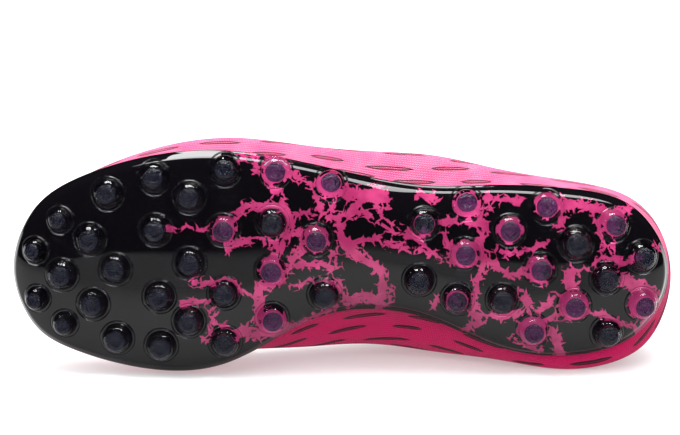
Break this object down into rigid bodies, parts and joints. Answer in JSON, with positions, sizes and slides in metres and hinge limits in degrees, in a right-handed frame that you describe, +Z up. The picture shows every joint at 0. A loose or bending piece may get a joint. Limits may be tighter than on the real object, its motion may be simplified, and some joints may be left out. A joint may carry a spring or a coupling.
{
  "type": "soccer cleat",
  "caption": "Left soccer cleat lying on its medial side, with a knitted upper, a cupped outsole covered in short conical studs, tongue, flat lace and footbed.",
  "frame": {"origin": "centre of the bounding box at the floor that the shoe lies on", "axes": "+X from toe to heel, +Y from sole to collar, +Z up from the medial side to the lateral side"},
  "size_m": [0.2862, 0.1052, 0.0986],
  "materials": {
    "outsole": "clear gloss moulding over a black and pink marbled film",
    "upper": "fine pink knit with dark raised dashes",
    "insole": "brushed textile over foam",
    "tongue": "ribbed pink knit",
    "lace": "flat woven lace"
  },
  "bodies": {
    "root": {"outsole": "outsole", "upper": "upper", "insole": "insole", "tongue": "tongue", "lace": "lace"}
  },
  "joints": []
}
